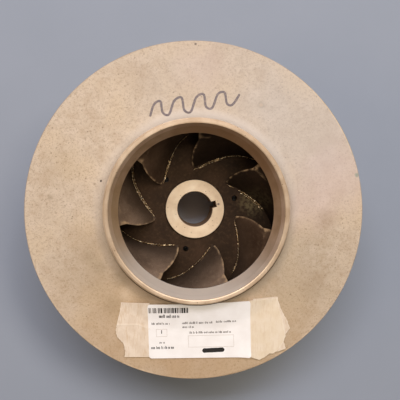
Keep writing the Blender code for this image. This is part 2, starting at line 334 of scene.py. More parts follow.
def patina_bronze(name, codes, dust, grime_and_shade, root_shade=0.0):
    """Cast bronze under a dark brown patina, as it is inside the passages: dull, dusty, lighter
    where edges and fillets were rubbed."""
    made, shader, coords = new_material(name, 0.4, 0.64)
    # the oxide is porous, and shines less than a closed skin would
    shader.inputs["Specular IOR Level"].default_value = 0.15
    fine = noisy(coords, 3.2, 4.0, 0.6)
    grit = noisy(coords, 0.9, 2.0)
    skin = ramped(noisy(coords, 26), *zip((0.30, 0.52, 0.75), codes))
    colour = over(skin, stepped(fine, 0.48, 0.70), 0.30, dust)
    colour = over(colour, stepped(grit, 0.46, 0.30), 0.35, grime_and_shade)
    rough_patch = times(spot(coords, 58, 6, 12, 7), stepped(fine, 0.35, 0.60))
    colour = over(colour, rough_patch, 0.55, "#75694c")
    # painted shade: the patina is darker down towards the passage floor, deep in the passages
    height = node("SeparateXYZ", None, {0: coords}, 2)
    colour = over(colour, stepped(height, (FLOOR + 30) * MM, (FLOOR + 1) * MM), root_shade, grime_and_shade)
    rubbed = times(stepped(wear_of(coords), 0.12, 0.75), stepped(fine, 0.25, 0.62))
    coat(shader, mixed(rubbed, colour, "#bfa37f"), mixed(0.4, grit, fine), 0.22, 0.6)
    return made


def flash_bronze():
    """Torn casting flash, bare bronze: golden, rough, catching the light in small sparks."""
    made, shader, coords = new_material("casting_flash_bare", 0.75, 0.34)
    sparks = noisy(coords, 1.5, 2.0)
    coat(shader, ramped(sparks, (0.36, "#8a6f4c"), (0.48, "#dcb987"), (0.58, "#fbe9c4")), sparks, 0.5)
    return made


def label_paper():
    """Coated paper for a thermal printer: white, smooth, faintly warm, with the slightest clouding."""
    made, shader, coords = new_material("label_paper_coated", 0.0, 0.55)
    cloudy = noisy(coords, 12)
    coat(shader, ramped(cloudy, (0.35, "#f5f3f1"), (0.65, "#fcfbfa")), cloudy, 0.15, 0.3)
    return made


def masking_tape(name, codes, creased):
    """Creped paper tape: cream, with fine creases across its length and fibres along torn edges."""
    made, shader, coords = new_material(name, 0.0, 0.72)
    # crepe folds 0.5 mm apart, drawn at 1.3 mm so that they show
    folds = noisy(vectors("MULTIPLY", coords, (1.0, 0.16, 0.16)), 1.3, 3.0, 0.6)
    skin = mixed(stepped(noisy(coords, 8), 0.34, 0.66), *codes)
    colour = over(skin, stepped(folds, 0.52, 0.34), creased, "#cfb592")
    coat(shader, over(colour, wear_of(coords), 0.7, "#f3e8d6"), folds, 0.22, 0.7)
    return made


def ink(name, code, faded, roughness):
    """Thin ink that goes over to a faded colour where it is worn."""
    made, shader, coords = new_material(name, 0.0, roughness)
    worn = noisy(coords, 1.6, 2.0)
    coat(shader, mixed(stepped(worn, 0.45, 0.75), code, faded), worn, 0.05, 0.3)
    return made


def floor_paint():
    """Pale matt floor paint, plain."""
    made, shader, coords = new_material("floor_paint_pale", 0.0, 0.85)
    coat(shader, mixed(noisy(coords, 90), "#bac5d1", "#c2ccd8"))
    return made


DULLED = ("#b9a186", "#c8b196", "#d7c3aa")
NICKED = ((23.2, 4.9, 1.1, 0.9, "#5e4f52"), (22.3, 8.0, 0.6, 0.5, "#8f7a66"))
# a painted highlight along the lip of the eye ring, on its lower side, whose edge faces the lamps
LIP_HIGHLIGHT = ((0.0, -88.0, 84.0, 0.3, "#f3e2ca"),)
# on the eye's wall: a pale patch on the lower side, where the wall faces the lamps, is a painted highlight;
# a darker brown patch on the upper side, turned from them, is painted shade; a golden patch on the left is
# tone
WALL_TONE_AND_PAINTED_LIGHT = (
    (-16.0, -80.0, 68.0, 0.75, "#f6efe5"), (30.0, 70.0, 55.0, 0.65, "#9a7450"),
    (-78.0, -8.0, 34.0, 0.35, "#b99c6c"),
)
CAST = cast_bronze()
TURNED = turned_bronze("turned_bronze_dulled", DULLED, 0.50, 0.9, 0.38)
FACED = turned_bronze(
    "turned_bronze_faced", ("#d2bb9c", "#dfcaab", "#e9d8bc"), 0.56, 0.9, 0.24, 0.12, NICKED,
)
LIP = turned_bronze("turned_bronze_lip", DULLED, 0.42, 0.9, 0.6, 0.0, LIP_HIGHLIGHT)
WALL = turned_bronze("turned_bronze_wall", ("#cfb39b", "#dcc3ad", "#e8d3c0"), 0.38, 1.4, 0.4, 0.0, WALL_TONE_AND_PAINTED_LIGHT)
NECK = turned_bronze("turned_bronze_neck", ("#b29578", "#c1a488", "#ceb398"), 0.40, 1.4, 0.4, 0.0, WALL_TONE_AND_PAINTED_LIGHT)
BORE = turned_bronze("turned_bronze_bore", ("#7d6249", "#8f7257", "#9c7f63"), 0.45, 1.2)
PATINA = patina_bronze("patina_bronze_floor", ("#2e2218", "#3a2b1e", "#463426"), "#5a4632", "#1d150d")
# copies of one patina, half shaded, shaded, lit and brightest: painted light and shade
VANE_LIT_AND_SHADED_PATINAS = (
    patina_bronze("patina_bronze_half_shaded", ("#4b392c", "#5c493a", "#6d5847"), "#786350", "#2b2017", 0.5),
    patina_bronze("patina_bronze_painted_shade", ("#291f18", "#33271e", "#3f3025"), "#4d3c2d", "#1b130d", 0.5),
    patina_bronze("patina_bronze_painted_lit", ("#655446", "#7e6a59", "#927d6b"), "#9d8973", "#2e231a", 0.85),
    patina_bronze("patina_bronze_painted_brightest", ("#6f5c4c", "#887360", "#9d8773"), "#a58f78", "#35281d", 0.85),
)
# which of these each vane has, from vane_1 on: vanes facing the lamps get the lighter copies and those
# turned from them the darker ones, painted light and shade
VANE_LIGHTING = (0, 1, 1, 0, 2, 2, 3)
FLASH = flash_bronze()
PAPER = label_paper()
TAPE_THIN = masking_tape("masking_tape_thin", ("#e0cfba", "#eadbc8"), 0.48)
TAPE_DOUBLE = masking_tape("masking_tape_double", ("#e6d6bc", "#ebddc7"), 0.26)
PRINT_INK = ink("thermal_print_black", "#14110f", "#2b2725", 0.6)
GREY_INK = ink("thermal_print_grey", "#5c5754", "#88827d", 0.6)
FAINT_INK = ink("thermal_print_faint", "#c9c0b8", "#ddd6cf", 0.6)
BLACK_INK = ink("marker_ink_black", "#0b0909", "#1a1617", 0.5)
PEN_INK = ink("marker_ink_worn", "#6c6264", "#94837a", 0.5)


def placed(name, data):
    """A new object in the scene."""
    made = bpy.data.objects.new(name, data)
    scene.collection.objects.link(made)
    return made


def solid(name, points, faces, finishes):
    """A mesh from points in millimetres, with all its faces turned outward."""
    mesh = bpy.data.meshes.new(name)
    mesh.from_pydata([(x * MM, y * MM, z * MM) for x, y, z in points], [], faces)
    for material in finishes:
        mesh.materials.append(material)
    shape = bmesh.new()
    shape.from_mesh(mesh)
    bmesh.ops.recalc_face_normals(shape, faces=shape.faces)
    shape.to_mesh(mesh)
    shape.free()
    return mesh


def piece(name, points, faces, finishes, spans=None, replaces=None, sharp=38.0, wear=None):
    """A named piece that rides with the impeller; spans gives each face's finish."""
    mesh = solid(name, points, faces, finishes)
    if spans:
        mesh.polygons.foreach_set("material_index", spans)
    if wear:
        mesh.attributes.new("wear", "FLOAT", "POINT").data.foreach_set("value", wear)
    mesh.shade_smooth()
    mesh.set_sharp_from_angle(angle=math.radians(sharp))
    made = placed(name, mesh)
    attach(made, "root")
    if replaces:
        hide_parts(replaces)
    return made


def quads(rows, columns, rows_close=True, columns_close=True, start=0):
    """Faces between the points of a grid, which may close on itself either way."""
    faces = []
    for row in range(rows if rows_close else rows - 1):
        here, there = start + row * columns, start + (row + 1) % rows * columns
        for column in range(columns if columns_close else columns - 1):
            after = (column + 1) % columns
            faces.append((here + column, there + column, there + after, here + after))
    return faces


def tube(rings, around, start=0):
    """Faces of a tube from rings of points, closed at both ends."""
    ends = (start, start + (rings - 1) * around)
    return quads(rings, around, False, True, start) + [tuple(range(end, end + around)) for end in ends]


def polar(r, angle, z):
    """The point at a radius, an angle in radians and a height."""
    return r * math.cos(angle), r * math.sin(angle), z


# the distances over which cast skin wanders, each with its share
UNEVEN = ((37, 0.75), (12, 0.45), (4, 0.2))


def uneven(x, y, z):
    """Values from -1 to 1 that wander from place to place."""
    return noise.noise(Vector((x, y, z)))


def wander(x, y, z, height, parts=UNEVEN):
    """Unevenness of cast skin at a point."""
    place = Vector((x, y, z))
    return height * sum(share * noise.noise(place / size) for size, share in parts)


# how many faces a turned piece has round the axis
FRONT_TURNS = 300
BACK_TURNS = 288


class Section(list):
    """A closed outline of points, each with its radius, height, surface number and unevenness."""

    def to(self, r, z, surface, cast=0.0, step=2.0):
        """Carries the outline on in a straight line, in steps."""
        from_r, from_z = self[-1][:2]
        length = math.dist((from_r, from_z), (r, z))
        count = max(1, round(length / step))
        shares = [number / count for number in range(1, count + 1)]
        if length > SHORT_RUN:
            shares = sorted({*shares, CRISP / length, 1 - CRISP / length})
        for share in shares:
            self.append((from_r + share * (r - from_r), from_z + share * (z - from_z), surface, cast))

    def bend(self, r, z, radius, start, end, surface, cast=0.0, steps=8):
        """Carries the outline on along an arc round (r, z)."""
        for number in range(1, steps + 1):
            angle = math.radians(start + (end - start) * number / steps)
            self.append((r + radius * math.cos(angle), z + radius * math.sin(angle), surface, cast))

    def surfaces(self, times_round):
        """The surface number of each face when the outline goes round this many times."""
        return [point[2] for point in self[1:] + self[:1]] * times_round


def lathed(name, outline, turns, finishes, replaces):
    """A piece from an outline that is spun about the shaft axis."""
    points = []
    for turn in range(turns):
        angle = math.tau * turn / turns
        for number, (r, z, _, cast) in enumerate(outline):
            if cast:
                before, after = outline[number - 1], outline[(number + 1) % len(outline)]
                run_r, run_z = after[0] - before[0], after[1] - before[1]
                push = wander(*polar(r, angle, z), cast) / math.hypot(run_r, run_z)
                r, z = r + push * run_z, z - push * run_r
            points.append(polar(r, angle, z))
    faces = quads(turns, len(outline))
    return piece(name, points, faces, finishes, outline.surfaces(turns), replaces)


def eye_wall(z):
    """Radius of the eye's tapered wall at height z."""
    share = (z - THROAT_Z) / (RING_TOP - THROAT_Z)
    return EYE_THROAT_R + share * (EYE_MOUTH_R - EYE_THROAT_R)


def shroud_top(r):
    """Height of the front shroud's outer face at radius r."""
    if r >= BLEND_START_R:
        share = (OUTSIDE_R - r) / (OUTSIDE_R - BLEND_START_R)
        return RIM_TOP + share * (BLEND_START_Z - RIM_TOP)
    across = min(BLEND_START_R - r, BLEND_START_R - LEDGE_R)
    return BLEND_START_Z + BLEND_ROUND - math.sqrt(BLEND_ROUND**2 - across**2)


def face_height(x, y):
    """Height of the front shroud's outer face, cast skin included."""
    z = shroud_top(math.hypot(x, y))
    return z + wander(x, y, z, CAST_RELIEF)


def front_shroud():
    """The blasted outer face, the turned rim, the neck and the dark passage side."""
    cast, turned, wall, dark = range(4)
    ledge_z = shroud_top(LEDGE_R)
    edge = 0.5
    swing = math.degrees(math.asin((BLEND_START_R - LEDGE_R) / BLEND_ROUND))
    outline = Section([(OUTSIDE_R - edge, CEILING, turned, 0.0), (OUTSIDE_R, CEILING + edge, turned, 0.0)])
    outline.to(OUTSIDE_R, RIM_TOP - edge, turned)
    outline.to(OUTSIDE_R - edge, RIM_TOP, turned)
    outline.to(BLEND_START_R, BLEND_START_Z, cast, CAST_RELIEF, 1.6)
    outline.bend(
        BLEND_START_R, BLEND_START_Z + BLEND_ROUND, BLEND_ROUND, 270, 270 - swing, cast, CAST_RELIEF, 12,
    )
    outline.to(EYE_RING_R + 0.3, ledge_z, turned)
    outline.to(eye_wall(ledge_z) + 1.5, ledge_z, turned)
    outline.to(eye_wall(ledge_z), ledge_z, turned)
    outline.to(EYE_THROAT_R, THROAT_Z, wall, 0.0, 1.0)
    outline.bend(EYE_THROAT_R + NECK_R, THROAT_Z, NECK_R, 180, 270, dark, 0.0, 10)
    outline.to(OUTSIDE_R - 3, CEILING, dark, PATINA_RELIEF, 3.0)
    outline.to(OUTSIDE_R - edge, CEILING, dark)
    finishes = [CAST, TURNED, NECK, PATINA]
    lathed("front_shroud_casting", outline, FRONT_TURNS, finishes, "front_shroud")


def eye_ring():
    """The turned wear ring round the eye: drafted outside, flat land, a lip with a painted highlight,
    tapered wall inside.
    """
    land, wall, lip = range(3)
    foot = shroud_top(LEDGE_R) - 0.2
    edge = 0.5
    top_r = EYE_RING_R - 0.9
    inner = eye_wall(RING_TOP - 0.7)
    outline = Section([(EYE_RING_R - 1.4, foot, land, 0.0), (EYE_RING_R, foot, land, 0.0)])
    outline.to(EYE_RING_R, foot + 0.6, land)
    outline.to(top_r, RING_TOP - edge, land, 0.0, 3.0)
    outline.bend(top_r - edge, RING_TOP - edge, edge, 0, 90, land, 0.0, 4)
    outline.to(EYE_MOUTH_R + 0.9, RING_TOP, land, 0.0, 1.2)
    outline.to(inner + 0.25, RING_TOP - 0.25, lip)
    outline.to(inner, RING_TOP - 0.7, lip)
    outline.to(eye_wall(foot), foot, wall, 0.0, 1.2)
    lathed("eye_ring_turned", outline, FRONT_TURNS, [TURNED, WALL, LIP], "eye_ring")


def back_shroud():
    """The dark passage floor, the turned rim and the blasted back, with three drilled holes."""
    cast, turned, dark = range(3)
    edge = 0.5
    fillet = 2.5
    seat = BACK_FACE - fillet
    inner = HUB_R - 0.4
    outline = Section([(inner, FLOOR - 4, dark, 0.0), (inner, FLOOR + 1.2, dark, 0.0)])
    outline.bend(HUB_R + 1.2, FLOOR + 1.2, 1.2, 180, 270, dark, 0.0, 5)
    outline.to(OUTSIDE_R - 3, FLOOR, dark, PATINA_RELIEF, 2.2)
    outline.to(OUTSIDE_R - edge, FLOOR, dark)
    outline.to(OUTSIDE_R, FLOOR - edge, turned)
    outline.to(OUTSIDE_R, RIM_FOOT + edge, turned)
    outline.to(OUTSIDE_R - edge, RIM_FOOT, turned)
    outline.to(REAR_RING_R + 5, BACK_FACE, cast, CAST_RELIEF, 2.4)
    outline.to(REAR_RING_R + fillet, BACK_FACE, cast)
    outline.bend(REAR_RING_R + fillet, seat, fillet, 90, 180, cast, 0.0, 5)
    outline.to(REAR_RING_R - 1, seat, cast)
    outline.to(REAR_RING_BORE_R + 1, seat, cast)
    outline.to(REAR_RING_BORE_R, seat, cast)
    outline.bend(REAR_RING_BORE_R - fillet, seat, fillet, 0, 90, cast, 0.0, 5)
    outline.to(BOSS_R + 4, BACK_FACE, cast, CAST_RELIEF, 2.4)
    outline.bend(BOSS_R + 4, BACK_FACE - 4, 4, 90, 180, cast, 0.0, 6)
    outline.to(BOSS_R - 1, BACK_FACE - 4, cast)
    outline.to(BOSS_R - 1, FLOOR - 4, cast, 0.0, 6.0)
    name = "back_shroud_casting"
    plate = lathed(name, outline, BACK_TURNS, [CAST, TURNED, PATINA], "back_shroud")
    # drilled holes with a broken edge on the passage side
    drill = ((JACK_HOLE_R, -30.0), (JACK_HOLE_R, -0.25), (JACK_HOLE_R + 0.8, 0.8))
    around = 40
    for angle in JACK_ANGLES:
        x, y, _ = polar(JACK_CIRCLE_R, math.radians(angle), FLOOR)
        corners = []
        for r, z in drill:
            for number in range(around):
                a, b, _ = polar(r, math.tau * number / around, z)
                corners.append((x + a, y + b, FLOOR + z))
        bit = placed("drill", solid("drill", corners, tube(len(drill), around), [PATINA]))
        bored = plate.modifiers.new("drilled", "BOOLEAN")
        bored.operation = "DIFFERENCE"
        bored.object = bit
        bored.material_mode = "TRANSFER"
        bpy.context.view_layer.update()
        plate_now = plate.evaluated_get(bpy.context.evaluated_depsgraph_get())
        cut = bpy.data.meshes.new_from_object(plate_now)
        plate.modifiers.clear()
        plate.data = cut
        bpy.data.objects.remove(bit)
    plate.data.name = name


def rear_ring():
    """The turned ring behind, seated in the back shroud's fillets."""
    seat = BACK_FACE - 2.3
    edge = 0.6
    outline = Section([(REAR_RING_R, seat, 0, 0.0)])
    outline.to(REAR_RING_R, REAR_RING_FOOT + edge, 0, 0.0, 3.0)
    outline.bend(REAR_RING_R - edge, REAR_RING_FOOT + edge, edge, 0, -90, 0, 0.0, 4)
    outline.to(REAR_RING_BORE_R + edge, REAR_RING_FOOT, 0, 0.0, 1.5)
    outline.bend(REAR_RING_BORE_R + edge, REAR_RING_FOOT + edge, edge, -90, -180, 0, 0.0, 4)
    outline.to(REAR_RING_BORE_R, seat, 0, 0.0, 3.0)
    lathed("rear_ring_turned", outline, BACK_TURNS, [TURNED], "rear_ring")


# angles from the keyway's middle to its far corner and to its mouth
KEY_CORNER = math.degrees(math.atan2(KEY_HALF_WIDTH, KEY_REACH))
KEY_MOUTH = math.degrees(math.asin(KEY_HALF_WIDTH / BORE_R))


def bore_edge(angle):
    """Radius of the bore at an angle from the keyway's middle, keyway included."""
    away = abs((angle + 180) % 360 - 180)
    if away <= KEY_CORNER + 1e-6:
        return KEY_REACH / math.cos(math.radians(away))
    if away < KEY_MOUTH - 1e-6:
        return KEY_HALF_WIDTH / math.sin(math.radians(away))
    return BORE_R


def hub():
    """The hub: turned face and boss, a bored hole and one keyway with sharp corners."""
    face, bore, side = range(3)
    inside = [share * KEY_CORNER for share in (0.0, 0.35, 0.7, 1.0)]
    inside += [KEY_CORNER + 0.7, KEY_MOUTH - 0.7, KEY_MOUTH]
    angles = sorted({round(a, 4) for a in inside} | {round(-a, 4) for a in inside})
    count = 200
    angles += [KEY_MOUTH + (360 - 2 * KEY_MOUTH) * n / count for n in range(1, count)]
    edge = 0.5
    # the last number of a point says how much it follows the keyway
    outline = Section([(BORE_R + edge, 0.0, side, 1.0), (BOSS_R - 1.0, 0.0, side, 0.0)])
    outline.append((BOSS_R, 1.0, side, 0.0))
    outline.to(BOSS_R, BACK_FACE + 2, side, 0.0, 4.0)
    outline.to(HUB_R, BACK_FACE + 2, side)
    outline.to(HUB_R, HUB_TOP - 0.7, side, 0.0, 3.0)
    outline.bend(HUB_R - 0.5, HUB_TOP - 0.5, 0.5, 0, 90, face, 0.0, 3)
    rings = 8
    start = HUB_R - 0.5
    for number in range(1, rings + 1):
        share = number / rings
        outline.append((start + share * (BORE_R + edge - start), HUB_TOP, face, share))
    outline.append((BORE_R, HUB_TOP - edge, face, 1.0))
    steps = 10
    for number in range(1, steps + 1):
        outline.append((BORE_R, HUB_TOP - edge - (HUB_TOP - 2 * edge) * number / steps, bore, 1.0))
    points = []
    for angle in angles:
        turn = math.radians(angle + KEY_ANGLE)
        extra = bore_edge(angle) - BORE_R
        points += [polar(r + extra * follows, turn, z) for r, z, _, follows in outline]
    faces = quads(len(angles), len(outline))
    spans = outline.surfaces(len(angles))
    piece("hub_turned", points, faces, [FACED, BORE, TURNED], spans, "hub", 30.0)


def inlet_radius(level):
    """Radius of the leading edge, from 0 at the hub floor to 1 at the throat."""
    return VANE_INLET_HUB_R + level * (VANE_INLET_EYE_R - VANE_INLET_HUB_R)


def bell(value, middle, width):
    """1 where a value is in the middle, and less the farther it is from there."""
    return math.exp(-(((value - middle) / width) ** 2))


def inlet_angle(level):
    """Angle of the leading edge: a small swing ahead near the hub, and back near the throat."""
    hollow = 0.8 * bell(level, 0.36, 0.15) + 1.7 * bell(level, 0.79, 0.1)
    return LEAD_SWING * math.sin(math.pi * min(1.0, 1.6 * level)) + LEAD_DROP * level**1.5 - hollow


def camber_angle(level, r):
    """Angle in radians of the vane's middle surface at radius r: a spiral that flattens to the exit."""
    start_r = inlet_radius(level)
    length = math.log(OUTSIDE_R / start_r)
    run = math.log(r / start_r) / length
    wrap = math.radians(inlet_angle(level) - VANE_TIP_ANGLE) / length
    exit_slope = 1 / math.tan(math.radians(VANE_EXIT_BETA))
    start_slope = (wrap - exit_slope / (VANE_BEND + 1)) * (VANE_BEND + 1) / VANE_BEND
    bent = abs(run) ** (VANE_BEND + 1) / (VANE_BEND + 1)
    swept = start_slope * run + (exit_slope - start_slope) * math.copysign(bent, run)
    return math.radians(inlet_angle(level)) - length * swept


def passage_ceiling(r):
    """Height of the front shroud's passage face, which turns up round the throat."""
    across = max(0.0, min(EYE_THROAT_R + NECK_R - r, NECK_R))
    return CEILING + NECK_R - math.sqrt(NECK_R**2 - across**2)


def level_height(level, r):
    """Height of the vane at radius r, from 0 on the back shroud to 1 under the front one."""
    return FLOOR + level * (passage_ceiling(max(r, VANE_INLET_EYE_R)) - FLOOR)


def half_arc(level, r):
    """Half the vane's width along the circle of radius r, from its true thickness."""
    step = 0.02
    near = min(max(level, step), 1 - step)
    out_r = min(r + 0.5, OUTSIDE_R)
    along = r * (camber_angle(level, out_r) - camber_angle(level, out_r - 0.5)) / 0.5
    rise = level_height(near + step, r) - level_height(near - step, r)
    lean = r * (camber_angle(near + step, r) - camber_angle(near - step, r)) / rise
    run = (r - inlet_radius(level)) * math.sqrt(1 + along**2)
    thick = VANE_NOSE_THICK + (VANE_THICK - VANE_NOSE_THICK) * min(1.0, run / VANE_THICKEN_RUN)
    if run < VANE_NOSE_RUN:
        thick *= math.sqrt(max(0.0, 1 - (1 - run / VANE_NOSE_RUN) ** 2))
    return 0.5 * thick * math.sqrt(1 + along**2 + lean**2)


def visible_side(level, r):
    """Angle in radians of the side seen from the eye, whose cast root lies nearer to the vane's middle."""
    root_shift = 3.3 * bell(r, 66, 13) + 1.2 * bell(r, 84, 20)
    return camber_angle(level, r) - half_arc(level, r) / r + math.radians(root_shift) * (1 - level) ** 1.5


HIDDEN_NOSE_SHARE = 0.28
HIDDEN_GROWTH_RUN = 26.0


def hidden_side(level, r):
    """Angle in radians of the side that is turned to the back shroud; it is thin along the nose."""
    grown = min(1.0, (r - inlet_radius(level)) / HIDDEN_GROWTH_RUN)
    share = HIDDEN_NOSE_SHARE + (1 - HIDDEN_NOSE_SHARE) * grown
    return camber_angle(level, r) + share * half_arc(level, r) / r


NOSE_STEPS = 7
BLADE_STEPS = 44
TIP_STEPS = 3
NOSE_SHARE = 0.028

# the nose's place in a vane's outline
NOSE = NOSE_STEPS + BLADE_STEPS


def vane_ring(level):
    """One closed outline round the vane at a level: back side from the tip to the nose, then the front."""
    start_r = inlet_radius(level)
    shares = [NOSE_SHARE * (1 - math.cos(math.pi / 2 * n / NOSE_STEPS)) for n in range(NOSE_STEPS + 1)]
    shares += [NOSE_SHARE + (1 - NOSE_SHARE) * (n / BLADE_STEPS) ** 1.25 for n in range(1, BLADE_STEPS + 1)]
    front, back = [], []
    for share in shares:
        r = start_r + share * (OUTSIDE_R - start_r)
        z = level_height(level, r)
        far, near = hidden_side(level, r), visible_side(level, r)
        front.append(polar(r, far, z))
        back.append(polar(r, near, z))
    tip = [polar(r, far + (near - far) * n / (TIP_STEPS + 1), z) for n in range(1, TIP_STEPS + 1)]
    return back[:0:-1] + front + tip


def throat_path(r, z, run):
    """Goes a distance along the front shroud's inner face, towards the eye if it is positive."""
    neck_r = EYE_THROAT_R + NECK_R
    if r >= neck_r:
        if run <= r - neck_r:
            return r - run, CEILING
        done = run - (r - neck_r)
    else:
        done = run + math.acos(max(-1.0, min(1.0, (THROAT_Z - z) / NECK_R))) * NECK_R
    if done < 0:
        return neck_r - done, CEILING
    rise = done - NECK_R * math.pi / 2
    if rise < 0:
        return neck_r - NECK_R * math.sin(done / NECK_R), THROAT_Z - NECK_R * math.cos(done / NECK_R)
    return eye_wall(THROAT_Z + rise), THROAT_Z + rise


def outward(ring, number):
    """Level direction that points away from the vane at a point of its outline."""
    before, after = ring[number - 1], ring[(number + 1) % len(ring)]
    along = Vector((after[0] - before[0], after[1] - before[1]))
    if along.length < 1e-6:
        along = Vector((1.0, 0.0))
    along.normalize()
    return Vector((along.y, -along.x))


def blended(start, corner, end, share):
    """Outline part of the way along curves that leave start, reach end and are drawn to the corner."""
    a, b, c = (1 - share) ** 2, 2 * share * (1 - share), share**2
    return [tuple(a * p[k] + b * q[k] + c * s[k] for k in range(3)) for p, q, s in zip(start, corner, end)]


ROOT_FILLET = 2.2
THROAT_FILLET = 6.5
THIN_FILLET = 1.2
VANE_LEVELS = 20

# how far a vane's ends reach into the shrouds
ROOT_DEPTH = 0.8
HEAD_DEPTH = 0.7

# how worn the outlines of the fillets are
ROOT_WEAR = (0.35, 0.55, 0.6, 0.5, 0.3, 0.12)
THROAT_WEAR = (0.5, 0.3, 0.15, 0.1, 0.1, 0.1, 0.1, 0.1)

# how worn the nose is, from its middle outward
NOSE_WEAR = (1.0, 0.75, 0.22)

# fillets are worn as much out to this radius, and beyond it less and less
WORN_R = 66.0
WORN_FADE = 22.0

# a vane has no cast unevenness this near to the turned rim, nor in so many outlines at each end
TRUE_TIP = 4.0
TRUE_ROWS = 2


def vane_rows():
    """Outlines of a vane from its foot to its head, with fillets to both shrouds, and how worn each is."""
    depth = CEILING - FLOOR
    low, high = ROOT_FILLET / depth, 1 - THROAT_FILLET / depth
    foot, face_low = vane_ring(0.0), vane_ring(low)
    head, face_high = vane_ring(1.0), vane_ring(high)
    skirt, wall_foot = [], []
    for number, (x, y, _) in enumerate(foot):
        away = outward(foot, number) * ROOT_FILLET
        wall_foot.append((x + away.x, y + away.y, FLOOR))
        skirt.append((x + away.x, y + away.y, FLOOR - ROOT_DEPTH))
    wall_head, hidden = [], []
    for number, (x, y, z) in enumerate(head):
        inside = min(1.0, max(0.0, (NOSE - number) / NOSE_STEPS))
        reach = THIN_FILLET + (THROAT_FILLET - THIN_FILLET) * inside * inside * (3 - 2 * inside)
        away = outward(head, number) * reach
        r, angle = math.hypot(x, y), math.atan2(y, x)
        across = Vector((math.cos(angle), math.sin(angle)))
        new_r, new_z = throat_path(r, z, -away.dot(across))
        turn = angle + away.dot(Vector((-across.y, across.x))) / r
        wall_head.append(polar(new_r, turn, new_z))
        hidden.append(polar(new_r + HEAD_DEPTH, turn, new_z + HEAD_DEPTH))
    rows = [skirt]
    rows += [blended(wall_foot, foot, face_low, step / 5) for step in range(6)]
    rows += [vane_ring(low + (high - low) * step / VANE_LEVELS) for step in range(1, VANE_LEVELS)]
    rows += [blended(face_high, head, wall_head, step / 7) for step in range(8)]
    rows.append(hidden)
    trimmed = []
    for row in rows:
        limits = [min(1.0, OUTSIDE_R / math.hypot(x, y)) for x, y, _ in row]
        trimmed.append([(x * limit, y * limit, z) for (x, y, z), limit in zip(row, limits)])
    return trimmed, [0.0, *ROOT_WEAR, *[0.0] * (VANE_LEVELS - 1), *THROAT_WEAR, 0.0]


def vanes():
    """Seven vanes from one set of outlines, each with its own cast unevenness."""
    rows, wears = vane_rows()
    count = len(rows[0])
    last = len(rows) - 1
    faces = quads(last + 1, count, False)
    for start in (0, last * count):
        # each end is closed by a strip between the two sides, from the nose to the tip
        faces.append((start + NOSE, start + NOSE - 1, start + NOSE + 1))
        for step in range(NOSE - 1):
            one, other = start + NOSE - 1 - step, start + NOSE + 1 + step
            faces.append((one, one - 1, other + 1, other))
        faces.append((start, *range(start + count - 1, start + count - 2 - TIP_STEPS, -1)))
    for number in range(VANES):
        turn = Matrix.Rotation(math.radians(VANE_PHASE - number * 360 / VANES), 3, "Z")
        points, wear = [], []
        for height, row in enumerate(rows):
            for place, (x, y, z) in enumerate(row):
                point = turn @ Vector((x, y, z))
                r = math.hypot(x, y)
                if TRUE_ROWS < height < last - TRUE_ROWS and r < OUTSIDE_R - TRUE_TIP:
                    push = outward(row, place) * wander(*point, PATINA_RELIEF)
                    point += turn @ Vector((push.x, push.y, 0.0))
                points.append(tuple(point))
                from_nose = abs(place - NOSE)
                edge = NOSE_WEAR[from_nose] if from_nose < len(NOSE_WEAR) else 0.0
                rough = 0.6 + 0.8 * noise.noise(point / 5)
                fade = max(0.0, 1 - max(0.0, r - WORN_R) / WORN_FADE)
                seen = 1.0 if place < NOSE else 0.3
                wear.append(max(0.0, min(1.0, wears[height] * fade * rough * seen + 0.85 * edge * rough)))
        node_name = f"vane_{number + 1}"
        # the vane's copy of the patina paints how it is lit
        skin = VANE_LIT_AND_SHADED_PATINAS[VANE_LIGHTING[number]]
        piece(node_name + "_cast", points, faces, [skin], None, node_name, 50.0, wear)


# a stiff sheet bridges the hollow beside the blend: where it leaves the face, and how it rises
BRIDGE_R = 109.0
BRIDGE_BEND = 6.0
BRIDGE_SLOPE = 0.305


def laid_face(x, y):
    """Height of the shroud's outer face under a stiff sheet, without its finest unevenness."""
    r = math.hypot(x, y)
    rise = math.hypot(max(0.0, BRIDGE_R - r), BRIDGE_BEND) - BRIDGE_BEND
    z = max(shroud_top(r), shroud_top(BRIDGE_R) + BRIDGE_SLOPE * rise)
    return z + wander(x, y, z, CAST_RELIEF, UNEVEN[:1])


def clear_of_ring(x, y):
    """Moves a point of a sheet out to the foot of the eye ring if it would lie under the ring."""
    reach = max(1.0, (LEDGE_R + 1.6) / math.hypot(x, y))
    return x * reach, y * reach


def sheet(name, columns, rows, place, bottom, top, material, replaces, light=None):
    """A thin sheet on the shroud's outer face, from a grid of places and the heights of its two faces."""
    points, wear = [], []
    for lift in (bottom, top):
        for row in range(rows + 1):
            for column in range(columns + 1):
                x, y = clear_of_ring(*place(column / columns, row / rows))
                points.append((x, y, laid_face(x, y) + lift(x, y)))
                at_edge = row in (0, rows) or column in (0, columns)
                wear.append(1.0 if at_edge else (light(x, y) if light else 0.0))
    line = columns + 1
    layer = (rows + 1) * line
    faces = quads(rows + 1, line, False, False) + quads(rows + 1, line, False, False, layer)
    border = [*range(columns), *range(columns, layer - 1, line)]
    border += [*range(layer - 1, layer - line, -1), *range(layer - line, 0, -line)]
    for here, there in zip(border, border[1:] + border[:1]):
        faces.append((here, there, there + layer, here + layer))
    piece(name, points, faces, [material], None, replaces, 38.0, wear)


def part_way(start, end, share):
    """A point in the plane part of the way from one to another."""
    return tuple(start[k] + share * (end[k] - start[k]) for k in range(2))


def along_line(corners, share):
    """A point part of the way along a line with corners."""
    lengths = [math.dist(a, b) for a, b in zip(corners, corners[1:])]
    left = share * sum(lengths)
    for start, end, length in zip(corners, corners[1:], lengths):
        if left <= length or end == corners[-1]:
            return part_way(start, end, min(1.0, left / length))
        left -= length


